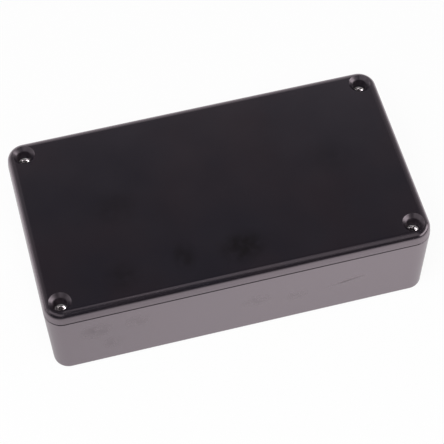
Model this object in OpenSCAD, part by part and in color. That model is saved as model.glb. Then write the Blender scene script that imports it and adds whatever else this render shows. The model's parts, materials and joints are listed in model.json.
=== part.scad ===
// Die cast aluminium enclosure: a drafted box casting and its lap-jointed lid.
// Millimetres, +Z up, +X along the length. The origin is the middle of the underside.

/* [Box] */
// Length over the joint between lid and base
body_l = 114; // [90:1:180]
// Width over the joint between lid and base
body_w = 63; // [50:0.5:120]
// Height with the lid on
body_h = 30; // [26:0.5:60]
// Radius of the upright corners at the joint
corner_r = 5.4; // [5:0.1:7]
// Wall thickness at the rim of the base
wall_t = 2; // [1.6:0.1:2.6]

/* [Base casting] */
// Thickness of the floor
floor_t = 2.2; // [1.6:0.1:4]
// How far each outer wall leans in from rim to underside
base_taper = 0.9; // [0.3:0.1:1.4]
// How far each inner wall leans in from rim to floor
cavity_taper = 0.6; // [0.2:0.1:1.2]
// Radius round the edge of the underside
bottom_r = 1.4; // [0.8:0.1:2.4]
// Fillet inside, where walls meet floor
floor_fillet = 1.6; // [0.8:0.1:2]
// Radius on the outer edge of the rim
rim_r = 0.4; // [0.2:0.1:0.8]

/* [Lid screws] */
// Diameter of the lid screws over their thread
screw_d = 3.5; // [3:0.1:3.8]
// Distance of each screw axis from the two sides beside it
screw_inset = 5.1; // [4.6:0.1:6]
// Depth of the tapped holes
tapped_depth = 16; // [8:0.5:18]
// Chamfer at the mouth of the tapped holes
mouth_chamfer = 0.15; // [0.1:0.05:0.3]
// How much wider than the screws the holes in the lid are
hole_clearance = 0.7; // [0.4:0.1:0.9]
// Diameter of the 90 degree countersinks at the top face
sink_d = 6.6; // [5.6:0.1:7]

/* [Corner posts] */
// Radius of the post round its screw axis, at the rim
post_r = 4.2; // [3.6:0.1:5]
// How much wider each post is at its foot
post_taper = 0.4; // [0.1:0.1:0.8]

/* [Lid casting] */
// Height of the lid's edge above the joint
lid_h = 4.2; // [3.4:0.1:6]
// Thickness of the lid inside its thicker border
lid_skin_t = 2.2; // [1.6:0.1:2.8]
// Radius round the top edge
lid_edge_r = 2.2; // [1:0.1:2.5]
// How far the lid's side leans in below that radius
lid_taper = 0.2; // [0.1:0.05:0.4]
// Radius on the lid's lower outer edge
lid_rim_r = 0.3; // [0.2:0.1:0.6]
// Depth of the lip that drops inside the walls
lip_h = 2.5; // [1.5:0.1:4]
// Thickness of the lip
lip_t = 1.6; // [1.2:0.1:2.4]
// Gap between lip and wall
lip_clearance = 0.3; // [0.2:0.05:0.6]
// Gap between the ends of the lip and the posts
post_clearance = 0.5; // [0.3:0.1:1]
// How far the lip's faces lean in
lip_taper = 0.2; // [0.1:0.05:0.4]
// Radius on the lip's free edge
lip_edge_r = 0.5; // [0.3:0.1:0.6]
// Fillet round the underside of the skin
skin_fillet = 0.8; // [0.4:0.1:1]

/* [Ejector marks] */
// Diameter of the round marks that the ejector pins leave inside
mark_d = 6; // [4:0.5:8]
// Depth of those marks
mark_depth = 0.2; // [0.1:0.05:0.4]
// Spacing of the marks along the length
mark_pitch_x = 64; // [40:1:66]
// Spacing of the marks across the width
mark_pitch_y = 28; // [16:1:30]

/* [Hidden] */
$fn = 64;
// Cutting solids run past the faces they cut by this much
over = 1;
base_h = body_h - lid_h;
hole_d = screw_d + hole_clearance;
cavity_l = body_l - 2 * wall_t;
cavity_w = body_w - 2 * wall_t;
cavity_r = corner_r - wall_t;
lip_l = cavity_l - 2 * lip_clearance;
lip_w = cavity_w - 2 * lip_clearance;
lip_r = cavity_r - lip_clearance;
pocket_l = lip_l - 2 * lip_t;
pocket_w = lip_w - 2 * lip_t;
// Parallel to the lip where the fillet leaves room, and always hidden by the posts' pads
pocket_r = max(lip_r - lip_t, skin_fillet + 2 * lip_taper);

// Quarter disc with its centre at the origin, in the +X +Y quadrant
module quarter(r) {
    intersection() {
        circle(r);
        square(r);
    }
}

// Half section of a drafted wall, from an upright axis at x = 0 out to `reach` at the rim.
// The wall leans in by `lean` to its foot, which has the radius foot_r.
// The rim's edge has the radius edge_r, or runs straight on by `past` where the section is a cutter.
module wall_section(reach, height, lean, foot_r, edge_r, past) {
    foot = reach - lean;
    polygon(concat(
        [[0, 0], [foot - foot_r, 0], [foot - foot_r, foot_r], [foot, foot_r]],
        [[reach, height - edge_r]],
        edge_r > 0 ? [[reach - edge_r, height - edge_r], [reach - edge_r, height]] : [],
        past > 0 ? [[reach, height + past]] : [],
        [[0, height + past]]
    ));
    translate([foot - foot_r, foot_r])
        mirror([0, 1])
            quarter(foot_r);
    if (edge_r > 0)
        translate([reach - edge_r, height - edge_r])
            quarter(edge_r);
}

// Whole section across a drafted block of the given span, symmetrical about x = 0
module block_section(span, r, height, lean, foot_r, edge_r, past) {
    for (side = [0, 1])
        mirror([side, 0]) {
            square([span / 2 - r, height + past]);
            translate([span / 2 - r, 0])
                wall_section(r, height, lean, foot_r, edge_r, past);
        }
}

// Block with drafted walls and rounded upright corners, standing on its smaller face.
// The corners are revolved and the walls extruded from one and the same section.
module drafted_block(l, w, height, r, lean, foot_r, edge_r = 0, past = 0) {
    for (side_x = [0, 1], side_y = [0, 1])
        mirror([side_x, 0, 0])
            mirror([0, side_y, 0])
                translate([l / 2 - r, w / 2 - r, 0])
                    rotate_extrude(angle = 90)
                        wall_section(r, height, lean, foot_r, edge_r, past);
    rotate([90, 0, 90])
        translate([0, 0, r - l / 2])
            linear_extrude(l - 2 * r)
                block_section(w, r, height, lean, foot_r, edge_r, past);
    rotate([90, 0, 0])
        translate([0, 0, r - w / 2])
            linear_extrude(w - 2 * r)
                block_section(l, r, height, lean, foot_r, edge_r, past);
}

// Places its children on the four screw axes, turned so that +X +Y points at the corner
module at_screws() {
    for (side_x = [0, 1], side_y = [0, 1])
        mirror([side_x, 0, 0])
            mirror([0, side_y, 0])
                translate([body_l / 2 - screw_inset, body_w / 2 - screw_inset, 0])
                    children();
}

// Corner post: rounded about its screw axis towards the inside of the box, and carried
// out to the walls. `foot` is its radius at the bottom and `top` its radius at the height h.
module post(foot, top, h) {
    module section() {
        polygon([[0, 0], [foot, 0], [top, h], [0, h]]);
    }
    rotate([0, 0, 180])
        rotate_extrude(angle = 90)
            section();
    rotate([90, 0, 90])
        linear_extrude(screw_inset)
            mirror([1, 0])
                section();
    mirror([1, -1, 0])
        rotate([90, 0, 90])
            linear_extrude(screw_inset)
                mirror([1, 0])
                    section();
    cube([screw_inset, screw_inset, h]);
}

// Round marks of the ejector pins, cut upwards from z = 0
module ejector_marks() {
    for (x = [-1, 1] * mark_pitch_x / 2, y = [-1, 1] * mark_pitch_y / 2)
        translate([x, y, 0])
            cylinder(d = mark_d, h = mark_depth + over);
}

// Tapped hole with a chamfered mouth at z = 0, as wide as its thread is over the grooves
module tapped_hole() {
    translate([0, 0, -tapped_depth])
        cylinder(d = screw_d, h = tapped_depth + over);
    translate([0, 0, -mouth_chamfer])
        cylinder(r1 = screw_d / 2, r2 = screw_d / 2 + mouth_chamfer + over, h = mouth_chamfer + over);
}

// Countersunk hole, with its top face at z = 0, right through the lid
module countersunk_hole() {
    sink_depth = (sink_d - hole_d) / 2;
    translate([0, 0, -lid_h - over])
        cylinder(d = hole_d, h = lid_h + 2 * over);
    translate([0, 0, -sink_depth])
        cylinder(r1 = hole_d / 2, r2 = sink_d / 2 + over, h = sink_depth + over);
}

// Hollow of the base, with the posts left standing
module cavity() {
    difference() {
        translate([0, 0, floor_t])
            drafted_block(cavity_l, cavity_w, base_h - floor_t, cavity_r,
                          cavity_taper, floor_fillet, past = over);
        at_screws()
            post(post_r + post_taper, post_r, base_h);
        at_screws()
            translate([0, 0, base_h])
                post(post_r, post_r, 2 * over);
    }
}

module base() {
    color([0.16, 0.15, 0.17])
        difference() {
            drafted_block(body_l, body_w, base_h, corner_r, base_taper, bottom_r, rim_r);
            cavity();
            at_screws()
                translate([0, 0, base_h])
                    tapped_hole();
            translate([0, 0, floor_t - mark_depth])
                ejector_marks();
        }
}

// Lip that locates the lid inside the base's walls, cut away at the posts
module lip() {
    difference() {
        translate([0, 0, base_h - lip_h])
            drafted_block(lip_l, lip_w, lip_h + over, lip_r, lip_taper, lip_edge_r);
        at_screws()
            translate([0, 0, base_h - lip_h - over])
                post(post_r + post_clearance, post_r + post_clearance, lip_h + 3 * over);
    }
}

// Hollow under the lid, with a full-thickness pad left over each post
module lid_pocket() {
    difference() {
        translate([0, 0, body_h - lid_skin_t])
            mirror([0, 0, 1])
                drafted_block(pocket_l, pocket_w, lid_h - lid_skin_t + lip_h, pocket_r,
                              lip_taper, skin_fillet, past = over);
        at_screws()
            translate([0, 0, base_h])
                post(post_r, post_r, lid_h);
    }
}

module lid() {
    color([0.14, 0.13, 0.15])
        difference() {
            union() {
                translate([0, 0, body_h])
                    mirror([0, 0, 1])
                        drafted_block(body_l, body_w, lid_h, corner_r, lid_taper, lid_edge_r, lid_rim_r);
                lip();
            }
            lid_pocket();
            at_screws()
                translate([0, 0, body_h])
                    countersunk_hole();
            translate([0, 0, body_h - lid_skin_t + mark_depth])
                mirror([0, 0, 1])
                    ejector_marks();
        }
}

base();
lid();
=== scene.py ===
# Die cast aluminium enclosure: paint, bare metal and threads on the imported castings, in a pale studio.
import json
import math
import bpy
from mathutils import Matrix, Vector


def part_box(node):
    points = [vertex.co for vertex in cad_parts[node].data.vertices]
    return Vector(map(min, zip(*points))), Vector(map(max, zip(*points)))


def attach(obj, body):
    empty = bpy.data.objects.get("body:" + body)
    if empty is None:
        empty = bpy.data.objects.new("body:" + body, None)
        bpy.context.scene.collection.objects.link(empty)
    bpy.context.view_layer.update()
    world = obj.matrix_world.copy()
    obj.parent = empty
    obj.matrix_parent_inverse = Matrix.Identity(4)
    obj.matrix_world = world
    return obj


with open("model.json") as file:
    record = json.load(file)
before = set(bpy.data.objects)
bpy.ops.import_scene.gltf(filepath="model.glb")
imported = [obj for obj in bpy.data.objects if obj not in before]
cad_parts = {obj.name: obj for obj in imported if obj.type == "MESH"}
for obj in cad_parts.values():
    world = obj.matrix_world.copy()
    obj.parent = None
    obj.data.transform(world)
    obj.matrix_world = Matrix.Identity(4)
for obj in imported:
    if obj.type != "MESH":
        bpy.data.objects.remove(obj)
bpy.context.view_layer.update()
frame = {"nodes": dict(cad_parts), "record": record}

# Sizes of the castings, in metres, from the frame and from the castings' own design
MM = 0.001
JOINT_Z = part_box("base")[1].z
TOP_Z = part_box("lid")[1].z
HALF_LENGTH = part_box("base")[1].x
HALF_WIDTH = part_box("base")[1].y
CORNER_R = 5.4 * MM
WALL_T = 2.0 * MM
FLOOR_T = 2.2 * MM
LID_SKIN_T = 2.2 * MM
LID_HOLE_R = 2.1 * MM
SINK_R = 3.3 * MM
mounts = {mount["name"]: mount["dims"] for mount in frame["record"]["mounts"]}
SCREW_X = mounts["lid_screw_holes"]["spacing_x_mm"] / 2 * MM
SCREW_Y = mounts["lid_screw_holes"]["spacing_y_mm"] / 2 * MM
THREAD_R = mounts["lid_screw_holes"]["hole_r_mm"] * MM

# Thread in the corner posts. Its upper end lies THREAD_END degrees round from +X
THREAD_PITCH = 0.8 * MM
THREAD_TURNS = 15
THREAD_DEPTH = 0.42 * MM
ROOT_SHARE = 0.8
CREST_SHARE = 0.16
TURN_STEPS = 40
MOUTH_GAP = 0.5 * MM
THREAD_END = 120
WALL_BITE = 0.05 * MM
MERGE_DISTANCE = 0.001 * MM

# Satin black paint: a dark film, glossy enough to mirror the studio softly. Its shade goes from cool to
# warm between two levels of a cloudy pattern. The floor and the room are no brighter than white, so the
# index of refraction is far above the usual 1.5 of paint, to mirror them as brightly as in the photograph
PAINT_COOL = "12121b"
PAINT_WARM = "19141b"
PAINT_MARKED = "030304"
PAINT_GLOSS = "ffedf7"
PAINT_IOR = 3.0
PAINT_SMOOTHEST = 0.15
PAINT_ROUGHEST = 0.23
SHADE_SIZE = 34 * MM
SHADE_LOW = 0.35
SHADE_HIGH = 0.65
CLOUD_SIZE = 14 * MM
PEEL_SIZE = 1.2 * MM
RELIEF_STRENGTH = 0.06
RELIEF_DEPTH = 0.05 * MM

# Where the paint ends, each from fully painted to fully bare: depths inside the outline, heights, and
# distances from the axis of a screw. The edge wanders up and down by RAGGED_REACH
BASE_INSIDE = (0.7 * WALL_T, 0.9 * WALL_T)
BASE_RIM = (JOINT_Z - 1.0 * MM, JOINT_Z - 2.5 * MM)
BASE_FLOOR = (0.4 * FLOOR_T, 0.6 * FLOOR_T)
BASE_BORE = (THREAD_R + 0.2 * MM, THREAD_R + 0.1 * MM)
LID_INSIDE = (0.5 * WALL_T, 0.8 * WALL_T)
LID_UNDERSIDE = (TOP_Z - 0.6 * LID_SKIN_T, TOP_Z - 0.8 * LID_SKIN_T)
LID_HOLE = (LID_HOLE_R + 0.2 * MM, LID_HOLE_R + 0.6 * MM)
RAGGED_SIZE = 2.5 * MM
RAGGED_REACH = 0.8 * MM

# Dry, rough paint in the countersinks of the lid, roughest at the edge of the hole
SINK_EDGE = 0.1 * MM
SINK_ROUGH = 0.3
HOLE_ROUGH = 0.8
DRY_BAND = 0.3 * MM

# Faint marks in the paint, each by its middle and half sizes in millimetres, its tilt in degrees
# and its strength: a flow line and dull scuffs on the front of the base, and dark smudges on the lid.
# Each fades out from MARK_CORE, a share of its size, to its edge, and two levels of a ragged pattern
# break it up into patches
WALL_FRONT = -HALF_WIDTH / MM
LID_TOP = TOP_Z / MM
BASE_SCUFFS = (
    ((31, WALL_FRONT, 14.2), (9, 3, 0.8), -11, 1.0),
    ((16, WALL_FRONT, 12.8), (5, 3, 3.5), 0, 0.7),
    ((4, WALL_FRONT, 15), (6, 3, 4), 0, 0.7),
    ((-31.5, WALL_FRONT, 18.5), (5.5, 3, 5), 0, 0.5),
    ((-39, WALL_FRONT, 9.6), (5, 3, 5.5), 0, 0.5),
    ((-43, WALL_FRONT, 18), (7.5, 3, 6), 0, 0.6),
)
SCUFF_ROUGH = 0.58
LID_SMUDGES = (
    ((2.4, -21.5, LID_TOP), (9, 7, 3), 0, 1.0),
    ((-14.5, -20.5, LID_TOP), (5, 6.5, 3), 0, 0.7),
    ((-33, -22.5, LID_TOP), (7, 7, 3), 0, 0.45),
    ((-30, 0.5, LID_TOP), (9, 8, 3), 0, 0.4),
    ((35, 2.5, LID_TOP), (9, 9, 3), 0, 0.25),
)
SMUDGE_ROUGH = 0.13
MARK_CORE = 0.1
PATCH_LOW = 0.2
PATCH_HIGH = 0.65

# Bare casting: pale metal under the grey skin that the die leaves, so it shines less than clean metal.
# Its grain is drawn coarser than it is, so that it shows
CASTING_DARK = "a9a9aa"
CASTING_PALE = "c9c8c6"
CASTING_METAL = 0.6
CASTING_ROUGH = 0.5
GRAIN_SIZE = 0.5 * MM

# Tapped aluminium in the threads: bright new metal, dulled a little by the marks of the tap. They are
# drawn coarser than they are, so that they show
TAPPED_METAL = "e8dfe3"
TAPPED_SMOOTHEST = 0.18
TAPPED_ROUGHEST = 0.24
TAP_MARK_SIZE = 0.3 * MM

# Camera, matched to the outline in the photograph
IMAGE_PX = 444
FOCAL_PX = 1765.145
SENSOR_MM = 36
VIEW_AZIMUTH = -13.738
VIEW_ELEVATION = 55.928
VIEW_ROLL = -1.079
VIEW_DISTANCE = 507.692 * MM
AIM_X = -1.287 * MM
AIM_Y = -11.973 * MM

# Floor: how white it looks, where reflections find it bright, in metres, and how much light they find
# close to the object and in front of it, as a share
PURE_WHITE = "ffffff"
SWEEP_WHITE = "f2f2f2"
FLOOR_SIZE = 12
FLOOR_GLOW = 0.93
BRIGHT_PLACE = (0.12, 0.28, 0)
BRIGHT_REACH = 0.31
BRIGHT_END = 0.52
CONTACT_REACH = 14 * MM
CONTACT_LIGHT = 0.92
FRONT_DIM_START = -49 * MM
FRONT_DIM_END = -62 * MM
FRONT_DIM_LIGHT = 0.85

# Room: its brightness, where 1 is white, and its bounds as shares of a ray's length in X, Y or Z
ROOM_LIGHT = 0.038
HAZE_LIGHT = 0.37
HAZE_TOP = 0.8
WALL_LIGHT = 0.186
WALL_TOP = 0.785
WALL_FADE = 0.04
WALL_MIDDLE = 0.25
WALL_END = 0.55
SWEEP_LIGHT = 0.42
SWEEP_TOP = 0.28
SWEEP_AZIMUTH = -150
SWEEP_MIDDLE = 0.9
SWEEP_END = 0.3
FRONT_DARK = -0.45

# Lamps: name, azimuth and elevation in degrees, width and length in metres, and brightness, where 1
# is white
LAMP_DISTANCE = 0.9
SOFTBOXES = (
    ("left_softbox", -50, 43, 1.2, 0.4, 0.3),
    ("right_softbox", 65, 18, 1.1, 0.32, 1.4),
    ("strip_softbox", 26, 59, 0.26, 1.02, 0.223),
)
FILL_LAMP = ("fill_softbox", -30, 65, 0.6, 0.6, 7.0)
GLINT_LAMPS = (
    ("left_glint", -70, 64, 0.35, 0.7, 12.0),
    ("right_glint", 84, 56, 0.45, 0.7, 4.0),
)

# Nodes: a Map Range node's inputs 0 to 4 are its value, the range that comes in and the range that
# goes out, and these are the setting that makes it soft and the sockets of a Mix node
SOFT = {"interpolation_type": "SMOOTHSTEP"}
MIX_A = 2
MIX_B = 3
MIX_COLOUR_A = 6
MIX_COLOUR_B = 7
MIX_COLOUR = 2


def linear(hex_colour):
    """An sRGB colour such as 1e1c1f as linear red, green, blue and alpha."""
    parts = [int(hex_colour[i:i + 2], 16) / 255 for i in (0, 2, 4)]
    return [c / 12.92 if c <= 0.04045 else ((c + 0.055) / 1.055) ** 2.4 for c in parts] + [1.0]


def add(tree, kind, inputs=None, **settings):
    """Adds a node with its settings. An input is a value, or the socket or node that is linked to it."""
    node = tree.nodes.new(kind)
    for name, value in settings.items():
        setattr(node, name, value)
    for name, value in (inputs or {}).items():
        if isinstance(value, bpy.types.Node):
            value = value.outputs[0]
        if isinstance(value, bpy.types.NodeSocket):
            tree.links.new(value, node.inputs[name])
        else:
            node.inputs[name].default_value = value
    return node


def new_material(name):
    """An empty material, its node tree and its output node."""
    material = bpy.data.materials.new(name)
    material.use_nodes = True
    material.node_tree.nodes.clear()
    return material, material.node_tree, material.node_tree.nodes.new("ShaderNodeOutputMaterial")


def outline_depth(tree, quarter):
    """How far a place in the +X +Y quarter, at height 0, lies inside the outline of the castings."""
    arc_middle = (HALF_LENGTH - CORNER_R, HALF_WIDTH - CORNER_R, 0)
    past_arc = add(tree, "ShaderNodeVectorMath", {0: quarter, 1: arc_middle}, operation="SUBTRACT")
    outward = add(tree, "ShaderNodeVectorMath", {0: past_arc, 1: (0, 0, 0)}, operation="MAXIMUM")
    reach = add(tree, "ShaderNodeVectorMath", {0: outward}, operation="LENGTH").outputs["Value"]
    return add(tree, "ShaderNodeMath", {0: CORNER_R, 1: reach}, operation="SUBTRACT")


def casting_place(tree):
    """The place on a casting: all of it, its height, its depth inside the outline and its distance
    from the nearest screw axis. Both castings are the same in all four quarters.
    """
    place = add(tree, "ShaderNodeTexCoord").outputs["Object"]
    height = add(tree, "ShaderNodeSeparateXYZ", {0: place}).outputs["Z"]
    folded = add(tree, "ShaderNodeVectorMath", {0: place}, operation="ABSOLUTE")
    quarter = add(tree, "ShaderNodeVectorMath", {0: folded, 1: (1, 1, 0)}, operation="MULTIPLY")
    axis = (SCREW_X, SCREW_Y, 0)
    from_screw = add(tree, "ShaderNodeVectorMath", {0: quarter, 1: axis}, operation="DISTANCE")
    return place, height, outline_depth(tree, quarter), from_screw.outputs["Value"]


def bare_in_base(tree, height, depth, from_screw):
    """1 where the base is bare: inside, below the overspray on the rim, and in the tapped holes."""
    inside = add(tree, "ShaderNodeMapRange", {0: depth, 1: BASE_INSIDE[0], 2: BASE_INSIDE[1]}, **SOFT)
    below_rim = add(tree, "ShaderNodeMapRange", {0: height, 1: BASE_RIM[0], 2: BASE_RIM[1]}, **SOFT)
    cast = add(tree, "ShaderNodeMath", {0: inside, 1: below_rim}, operation="MULTIPLY")
    tapped = add(tree, "ShaderNodeMapRange", {0: from_screw, 1: BASE_BORE[0], 2: BASE_BORE[1]}, **SOFT)
    bare = add(tree, "ShaderNodeMath", {0: cast, 1: tapped}, operation="MAXIMUM")
    above_floor = add(tree, "ShaderNodeMapRange", {0: height, 1: BASE_FLOOR[0], 2: BASE_FLOOR[1]}, **SOFT)
    return add(tree, "ShaderNodeMath", {0: bare, 1: above_floor}, operation="MULTIPLY")


def bare_in_lid(tree, height, depth, from_screw):
    """1 where the lid is bare: its underside, apart from the screw holes and what is next to them."""
    inside = add(tree, "ShaderNodeMapRange", {0: depth, 1: LID_INSIDE[0], 2: LID_INSIDE[1]}, **SOFT)
    skin = {0: height, 1: LID_UNDERSIDE[0], 2: LID_UNDERSIDE[1]}
    under_skin = add(tree, "ShaderNodeMapRange", skin, **SOFT)
    underside = add(tree, "ShaderNodeMath", {0: inside, 1: under_skin}, operation="MULTIPLY")
    hole = {0: from_screw, 1: LID_HOLE[0], 2: LID_HOLE[1]}
    clear_of_hole = add(tree, "ShaderNodeMapRange", hole, **SOFT)
    return add(tree, "ShaderNodeMath", {0: underside, 1: clear_of_hole}, operation="MULTIPLY")


def mark(tree, place, middle, half_size, tilt, strength):
    """The given strength in the middle of an oval mark, fading to 0 at its edge."""
    oval = {
        "Vector": place,
        "Location": Vector(middle) * MM,
        "Rotation": (0, math.radians(tilt), 0),
        "Scale": Vector(half_size) * MM,
    }
    local = add(tree, "ShaderNodeMapping", oval, vector_type="TEXTURE")
    reach = add(tree, "ShaderNodeVectorMath", {0: local}, operation="LENGTH").outputs["Value"]
    return add(tree, "ShaderNodeMapRange", {0: reach, 1: 1.0, 2: MARK_CORE, 4: strength}, **SOFT)


def all_marks(tree, place, ragged, marks):
    """How strongly the paint is marked, with all marks broken up by the same ragged pattern."""
    marked = mark(tree, place, *marks[0])
    for other in marks[1:]:
        both = {0: marked, 1: mark(tree, place, *other)}
        marked = add(tree, "ShaderNodeMath", both, operation="MAXIMUM")
    patches = add(tree, "ShaderNodeMapRange", {0: ragged, 1: PATCH_LOW, 2: PATCH_HIGH}, **SOFT)
    return add(tree, "ShaderNodeMath", {0: marked, 1: patches}, operation="MULTIPLY")


def casting_colour(tree, place, cloud, marked, bare):
    """Colour of a casting: paint between a cool and a warm black, and bare metal between two greys."""
    shade = add(tree, "ShaderNodeTexNoise", {"Vector": place, "Scale": 1 / SHADE_SIZE, "Detail": 3.0})
    shade = add(tree, "ShaderNodeMapRange", {0: shade, 1: SHADE_LOW, 2: SHADE_HIGH}, **SOFT)
    blacks = {0: shade, MIX_COLOUR_A: linear(PAINT_COOL), MIX_COLOUR_B: linear(PAINT_WARM)}
    paint = add(tree, "ShaderNodeMix", blacks, data_type="RGBA").outputs[MIX_COLOUR]
    smudged = {0: marked, MIX_COLOUR_A: paint, MIX_COLOUR_B: linear(PAINT_MARKED)}
    paint = add(tree, "ShaderNodeMix", smudged, data_type="RGBA").outputs[MIX_COLOUR]
    greys = {0: cloud, MIX_COLOUR_A: linear(CASTING_DARK), MIX_COLOUR_B: linear(CASTING_PALE)}
    metal = add(tree, "ShaderNodeMix", greys, data_type="RGBA").outputs[MIX_COLOUR]
    both = {0: bare, MIX_COLOUR_A: paint, MIX_COLOUR_B: metal}
    return add(tree, "ShaderNodeMix", both, data_type="RGBA").outputs[MIX_COLOUR]


def casting_roughness(tree, height, from_screw, cloud, marked, mark_rough, bare):
    """Roughness of a casting: clouded paint, marks, dry paint in the lid's holes, matt bare metal."""
    paint = add(tree, "ShaderNodeMapRange", {0: cloud, 3: PAINT_SMOOTHEST, 4: PAINT_ROUGHEST})
    paint = add(tree, "ShaderNodeMix", {0: marked, MIX_A: paint, MIX_B: mark_rough})
    sink = {0: from_screw, 1: SINK_R + SINK_EDGE, 2: SINK_R - SINK_EDGE}
    in_sink = add(tree, "ShaderNodeMapRange", sink, **SOFT)
    above_joint = add(tree, "ShaderNodeMapRange", {0: height, 1: JOINT_Z - SINK_EDGE, 2: JOINT_Z})
    in_sink = add(tree, "ShaderNodeMath", {0: in_sink, 1: above_joint}, operation="MULTIPLY")
    spray = {0: from_screw, 1: LID_HOLE_R + DRY_BAND, 2: LID_HOLE_R, 3: SINK_ROUGH, 4: HOLE_ROUGH}
    dry = add(tree, "ShaderNodeMapRange", spray, **SOFT)
    paint = add(tree, "ShaderNodeMix", {0: in_sink, MIX_A: paint, MIX_B: dry})
    return add(tree, "ShaderNodeMix", {0: bare, MIX_A: paint, MIX_B: CASTING_ROUGH})


def casting_relief(tree, place, bare):
    """Fine relief of a casting: orange peel in the paint, and the grain of the die on bare metal."""
    peel = add(tree, "ShaderNodeTexNoise", {"Vector": place, "Scale": 1 / PEEL_SIZE, "Detail": 1.0})
    grain = add(tree, "ShaderNodeTexNoise", {"Vector": place, "Scale": 1 / GRAIN_SIZE, "Detail": 3.0})
    relief = add(tree, "ShaderNodeMix", {0: bare, MIX_A: peel, MIX_B: grain})
    shape = {"Height": relief, "Strength": RELIEF_STRENGTH, "Distance": RELIEF_DEPTH}
    return add(tree, "ShaderNodeBump", shape)


def painted_casting(name, bare_part, marks, mark_rough):
    """Satin black paint sprayed on die cast aluminium, with the inside of the casting left bare.

    The paint is a smooth dark film, so it shows the studio as a soft reflection, clouded a little.
    Inside, the casting is pale and matt. The paint ends there in a ragged edge of overspray.
    """
    material, tree, output = new_material(name)
    place, height, depth, from_screw = casting_place(tree)
    ragged = add(tree, "ShaderNodeTexNoise", {"Vector": place, "Scale": 1 / RAGGED_SIZE, "Detail": 3.0})
    wander = add(tree, "ShaderNodeMapRange", {0: ragged, 3: -RAGGED_REACH, 4: RAGGED_REACH})
    ragged_height = add(tree, "ShaderNodeMath", {0: height, 1: wander}, operation="ADD")
    bare = bare_part(tree, ragged_height, depth, from_screw)
    marked = all_marks(tree, place, ragged, marks)
    cloud = add(tree, "ShaderNodeTexNoise", {"Vector": place, "Scale": 1 / CLOUD_SIZE, "Detail": 4.0})
    skin = add(tree, "ShaderNodeBsdfPrincipled", {
        "Base Color": casting_colour(tree, place, cloud, marked, bare),
        "Metallic": add(tree, "ShaderNodeMath", {0: bare, 1: CASTING_METAL}, operation="MULTIPLY"),
        "Roughness": casting_roughness(tree, height, from_screw, cloud, marked, mark_rough, bare),
        "IOR": PAINT_IOR,
        "Specular Tint": linear(PAINT_GLOSS),
        "Normal": casting_relief(tree, place, bare),
    })
    tree.links.new(skin.outputs[0], output.inputs[0])
    return material


def tapped_aluminium():
    """Aluminium cut by a tap: bright metal that glints in the holes, and its shine varies a little."""
    material, tree, output = new_material("tapped_aluminium")
    place = add(tree, "ShaderNodeTexCoord").outputs["Object"]
    fine = {"Vector": place, "Scale": 1 / TAP_MARK_SIZE, "Detail": 2.0}
    tap_marks = add(tree, "ShaderNodeTexNoise", fine)
    dulling = {0: tap_marks, 3: TAPPED_SMOOTHEST, 4: TAPPED_ROUGHEST}
    metal = add(tree, "ShaderNodeBsdfPrincipled", {
        "Base Color": linear(TAPPED_METAL),
        "Metallic": 1.0,
        "Roughness": add(tree, "ShaderNodeMapRange", dulling),
    })
    tree.links.new(metal.outputs[0], output.inputs[0])
    return material


def thread_coil():
    """One screw thread: a ridge with sloping flanks and closed ends, wound up a hole on the Z axis."""
    foot_z = JOINT_Z - MOUTH_GAP - THREAD_TURNS * THREAD_PITCH
    root = THREAD_R + WALL_BITE
    crest = THREAD_R - THREAD_DEPTH
    middle = (root + crest) / 2
    bpy.ops.object.select_all(action="DESELECT")
    bpy.ops.mesh.primitive_plane_add(size=1, rotation=(math.pi / 2, 0, 0), location=(middle, 0, foot_z))
    coil = bpy.context.object
    coil.scale = (root - crest, ROOT_SHARE * THREAD_PITCH, 1)
    bpy.ops.object.transform_apply(location=True, rotation=True, scale=True)
    bpy.ops.object.mode_set(mode="EDIT")
    bpy.ops.mesh.select_all(action="DESELECT")
    bpy.ops.object.mode_set(mode="OBJECT")
    for vertex in coil.data.vertices:
        vertex.select = vertex.co.x < middle
    bpy.ops.object.mode_set(mode="EDIT")
    bpy.ops.transform.resize(value=(1, 1, CREST_SHARE))
    bpy.ops.mesh.select_all(action="SELECT")
    bpy.ops.mesh.delete(type="ONLY_FACE")
    bpy.ops.object.mode_set(mode="OBJECT")
    winding = coil.modifiers.new("winding", "SCREW")
    winding.axis = "Z"
    winding.angle = 2 * math.pi
    winding.screw_offset = THREAD_PITCH
    winding.iterations = THREAD_TURNS
    winding.steps = TURN_STEPS
    winding.render_steps = TURN_STEPS
    bpy.ops.object.modifier_apply(modifier="winding")
    bpy.ops.object.mode_set(mode="EDIT")
    bpy.ops.mesh.select_all(action="SELECT")
    bpy.ops.mesh.remove_doubles(threshold=MERGE_DISTANCE)
    bpy.ops.mesh.fill_holes(sides=4)
    bpy.ops.mesh.normals_make_consistent(inside=False)
    bpy.ops.object.mode_set(mode="OBJECT")
    return coil


def post_threads(material):
    """The same thread in all four posts, each with its own mesh. Returns a collection of them."""
    first = thread_coil()
    first.data.materials.append(material)
    coils = bpy.data.collections.new("post_threads")
    corners = [(side_x, side_y) for side_x in (-1, 1) for side_y in (-1, 1)]
    for number, (side_x, side_y) in enumerate(corners, start=1):
        coil = first.copy()
        coil.data = first.data.copy()
        coil.name = f"post_thread_{number}"
        bpy.context.scene.collection.objects.link(coil)
        place = Matrix.Translation((side_x * SCREW_X, side_y * SCREW_Y, 0))
        coil.data.transform(place @ Matrix.Rotation(math.radians(THREAD_END), 4, "Z"))
        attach(coil, "base")
        coils.objects.link(coil)
    bpy.data.objects.remove(first)
    return coils


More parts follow.
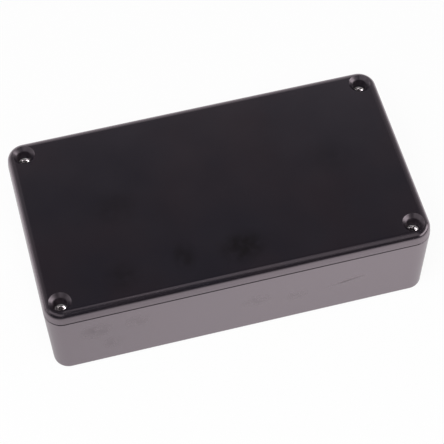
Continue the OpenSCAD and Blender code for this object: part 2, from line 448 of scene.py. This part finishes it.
def white_paper_sweep():
    """White matt paper. The camera sees it white all over, apart from a faint shadow.

    Reflections see it fade with the distance from its brightest place, which lies behind the object.
    They also see it a little darker close to the object and in front of it.
    """
    material, tree, output = new_material("white_paper_sweep")
    path = add(tree, "ShaderNodeLightPath").outputs
    either = {0: path["Is Camera Ray"], 1: path["Is Glossy Ray"]}
    seen = add(tree, "ShaderNodeMath", either, operation="MAXIMUM")
    share = add(tree, "ShaderNodeMath", {0: seen, 1: FLOOR_GLOW}, operation="MULTIPLY")
    place = add(tree, "ShaderNodeTexCoord").outputs["Object"]
    away = add(tree, "ShaderNodeVectorMath", {0: place, 1: BRIGHT_PLACE}, operation="DISTANCE")
    fading = {0: away.outputs["Value"], 1: BRIGHT_END, 2: BRIGHT_REACH}
    mirrored = add(tree, "ShaderNodeMapRange", fading, **SOFT)
    quarter = add(tree, "ShaderNodeVectorMath", {0: place}, operation="ABSOLUTE")
    shading = {0: outline_depth(tree, quarter), 1: 0.0, 2: -CONTACT_REACH, 3: CONTACT_LIGHT, 4: 1.0}
    shade = add(tree, "ShaderNodeMapRange", shading)
    mirrored = add(tree, "ShaderNodeMath", {0: mirrored, 1: shade}, operation="MULTIPLY")
    front = add(tree, "ShaderNodeSeparateXYZ", {0: place}).outputs["Y"]
    dimming = {0: front, 1: FRONT_DIM_END, 2: FRONT_DIM_START, 3: FRONT_DIM_LIGHT, 4: 1.0}
    dimmed = add(tree, "ShaderNodeMapRange", dimming, **SOFT)
    mirrored = add(tree, "ShaderNodeMath", {0: mirrored, 1: dimmed}, operation="MULTIPLY")
    shown = {0: path["Is Camera Ray"], 1: mirrored}
    strength = add(tree, "ShaderNodeMath", shown, operation="MAXIMUM")
    matt = add(tree, "ShaderNodeBsdfDiffuse", {"Color": linear(SWEEP_WHITE)})
    white = add(tree, "ShaderNodeEmission", {"Color": linear(PURE_WHITE), "Strength": strength})
    mix = add(tree, "ShaderNodeMixShader", {0: share, 1: matt, 2: white})
    tree.links.new(mix.outputs[0], output.inputs[0])
    return material


def pale_floor(paper):
    """A wide flat floor of the given paper, at the foot of the object."""
    bpy.ops.object.select_all(action="DESELECT")
    bpy.ops.mesh.primitive_plane_add(size=FLOOR_SIZE)
    floor = bpy.context.object
    floor.name = "pale_floor"
    floor.data.materials.append(paper)


def direction(azimuth, elevation):
    """Unit vector from the object, by degrees: azimuth 0 is in front and 90 is at +X."""
    level = math.cos(math.radians(elevation))
    turn = math.radians(azimuth)
    return Vector((math.sin(turn) * level, -math.cos(turn) * level, math.sin(math.radians(elevation))))


def softbox(name, azimuth, elevation, width, length, brightness):
    """A soft lamp that faces the object, as bright as a mirror would show it."""
    lamp = bpy.data.lights.new(name, "AREA")
    lamp.shape = "RECTANGLE"
    lamp.size = width
    lamp.size_y = length
    lamp.energy = brightness * math.pi * width * length
    holder = bpy.data.objects.new(name, lamp)
    towards = direction(azimuth, elevation)
    holder.location = towards * LAMP_DISTANCE
    holder.rotation_mode = "QUATERNION"
    holder.rotation_quaternion = (-towards).to_track_quat("-Z", "Y")
    bpy.context.scene.collection.objects.link(holder)
    return holder


def lamps(bare_threads):
    """Softboxes that show in the paint, a fill lamp that doesn't, and lamps that glint in the threads."""
    for box in SOFTBOXES:
        softbox(*box)
    softbox(*FILL_LAMP).visible_glossy = False
    for lamp in GLINT_LAMPS:
        softbox(*lamp).light_linking.receiver_collection = bare_threads


def white_cove():
    """The room: a sweep behind the object, haze at the sides, a pale wall above, and dark in front."""
    world = bpy.data.worlds.new("white_cove")
    world.use_nodes = True
    tree = world.node_tree
    ray = add(tree, "ShaderNodeTexCoord").outputs["Generated"]
    x, y, z = add(tree, "ShaderNodeSeparateXYZ", {0: ray}).outputs
    haze = add(tree, "ShaderNodeMapRange", {0: z, 1: 0.0, 2: HAZE_TOP, 3: HAZE_LIGHT, 4: 0.0})
    below_top = add(tree, "ShaderNodeMapRange", {0: z, 1: WALL_TOP, 2: WALL_TOP - WALL_FADE}, **SOFT)
    aside = add(tree, "ShaderNodeMath", {0: x}, operation="ABSOLUTE")
    ahead = add(tree, "ShaderNodeMapRange", {0: aside, 1: WALL_END, 2: WALL_MIDDLE}, **SOFT)
    wall = add(tree, "ShaderNodeMath", {0: below_top, 1: ahead}, operation="MULTIPLY")
    light = add(tree, "ShaderNodeMath", {0: wall, 1: WALL_LIGHT, 2: haze}, operation="MULTIPLY_ADD")
    low = add(tree, "ShaderNodeMapRange", {0: z, 1: SWEEP_TOP, 2: 0.0}, **SOFT)
    sweep_middle = direction(SWEEP_AZIMUTH, 0)
    towards = add(tree, "ShaderNodeVectorMath", {0: ray, 1: sweep_middle}, operation="DOT_PRODUCT")
    facing = {0: towards.outputs["Value"], 1: SWEEP_END, 2: SWEEP_MIDDLE}
    turned = add(tree, "ShaderNodeMapRange", facing, **SOFT)
    sweep = add(tree, "ShaderNodeMath", {0: low, 1: turned}, operation="MULTIPLY")
    light = add(tree, "ShaderNodeMath", {0: sweep, 1: SWEEP_LIGHT, 2: light}, operation="MULTIPLY_ADD")
    behind = add(tree, "ShaderNodeMapRange", {0: y, 1: FRONT_DARK, 2: 0.0}, **SOFT)
    light = add(tree, "ShaderNodeMath", {0: light, 1: behind, 2: ROOM_LIGHT}, operation="MULTIPLY_ADD")
    camera_ray = add(tree, "ShaderNodeLightPath").outputs["Is Camera Ray"]
    light = add(tree, "ShaderNodeMath", {0: light, 1: camera_ray}, operation="MAXIMUM")
    background = tree.nodes["Background"]
    background.inputs["Color"].default_value = linear(PURE_WHITE)
    tree.links.new(light.outputs[0], background.inputs["Strength"])
    bpy.context.scene.world = world


def camera():
    """The photograph's viewpoint: in front, a little to the left, looking steeply down on the lid."""
    lens = bpy.data.cameras.new("photo_camera")
    lens.sensor_width = SENSOR_MM
    lens.lens = FOCAL_PX / IMAGE_PX * SENSOR_MM
    holder = bpy.data.objects.new("photo_camera", lens)
    towards = direction(VIEW_AZIMUTH, VIEW_ELEVATION)
    turn = (-towards).to_track_quat("-Z", "Y").to_matrix().to_4x4()
    place = Matrix.Translation(Vector((AIM_X, AIM_Y, TOP_Z)) + towards * VIEW_DISTANCE)
    holder.matrix_world = place @ turn @ Matrix.Rotation(math.radians(VIEW_ROLL), 4, "Z")
    bpy.context.scene.collection.objects.link(holder)
    bpy.context.scene.camera = holder


# The castings get their paint and the posts their threads, and the studio stands round them
base_paint = painted_casting("sprayed_satin_paint_on_cast_base", bare_in_base, BASE_SCUFFS, SCUFF_ROUGH)
lid_paint = painted_casting("sprayed_satin_paint_on_cast_lid", bare_in_lid, LID_SMUDGES, SMUDGE_ROUGH)
frame["nodes"]["base"].material_slots[0].material = base_paint
frame["nodes"]["lid"].material_slots[0].material = lid_paint
bare_threads = post_threads(tapped_aluminium())
pale_floor(white_paper_sweep())
lamps(bare_threads)
white_cove()
camera()
bpy.context.scene.view_settings.view_transform = "Standard"
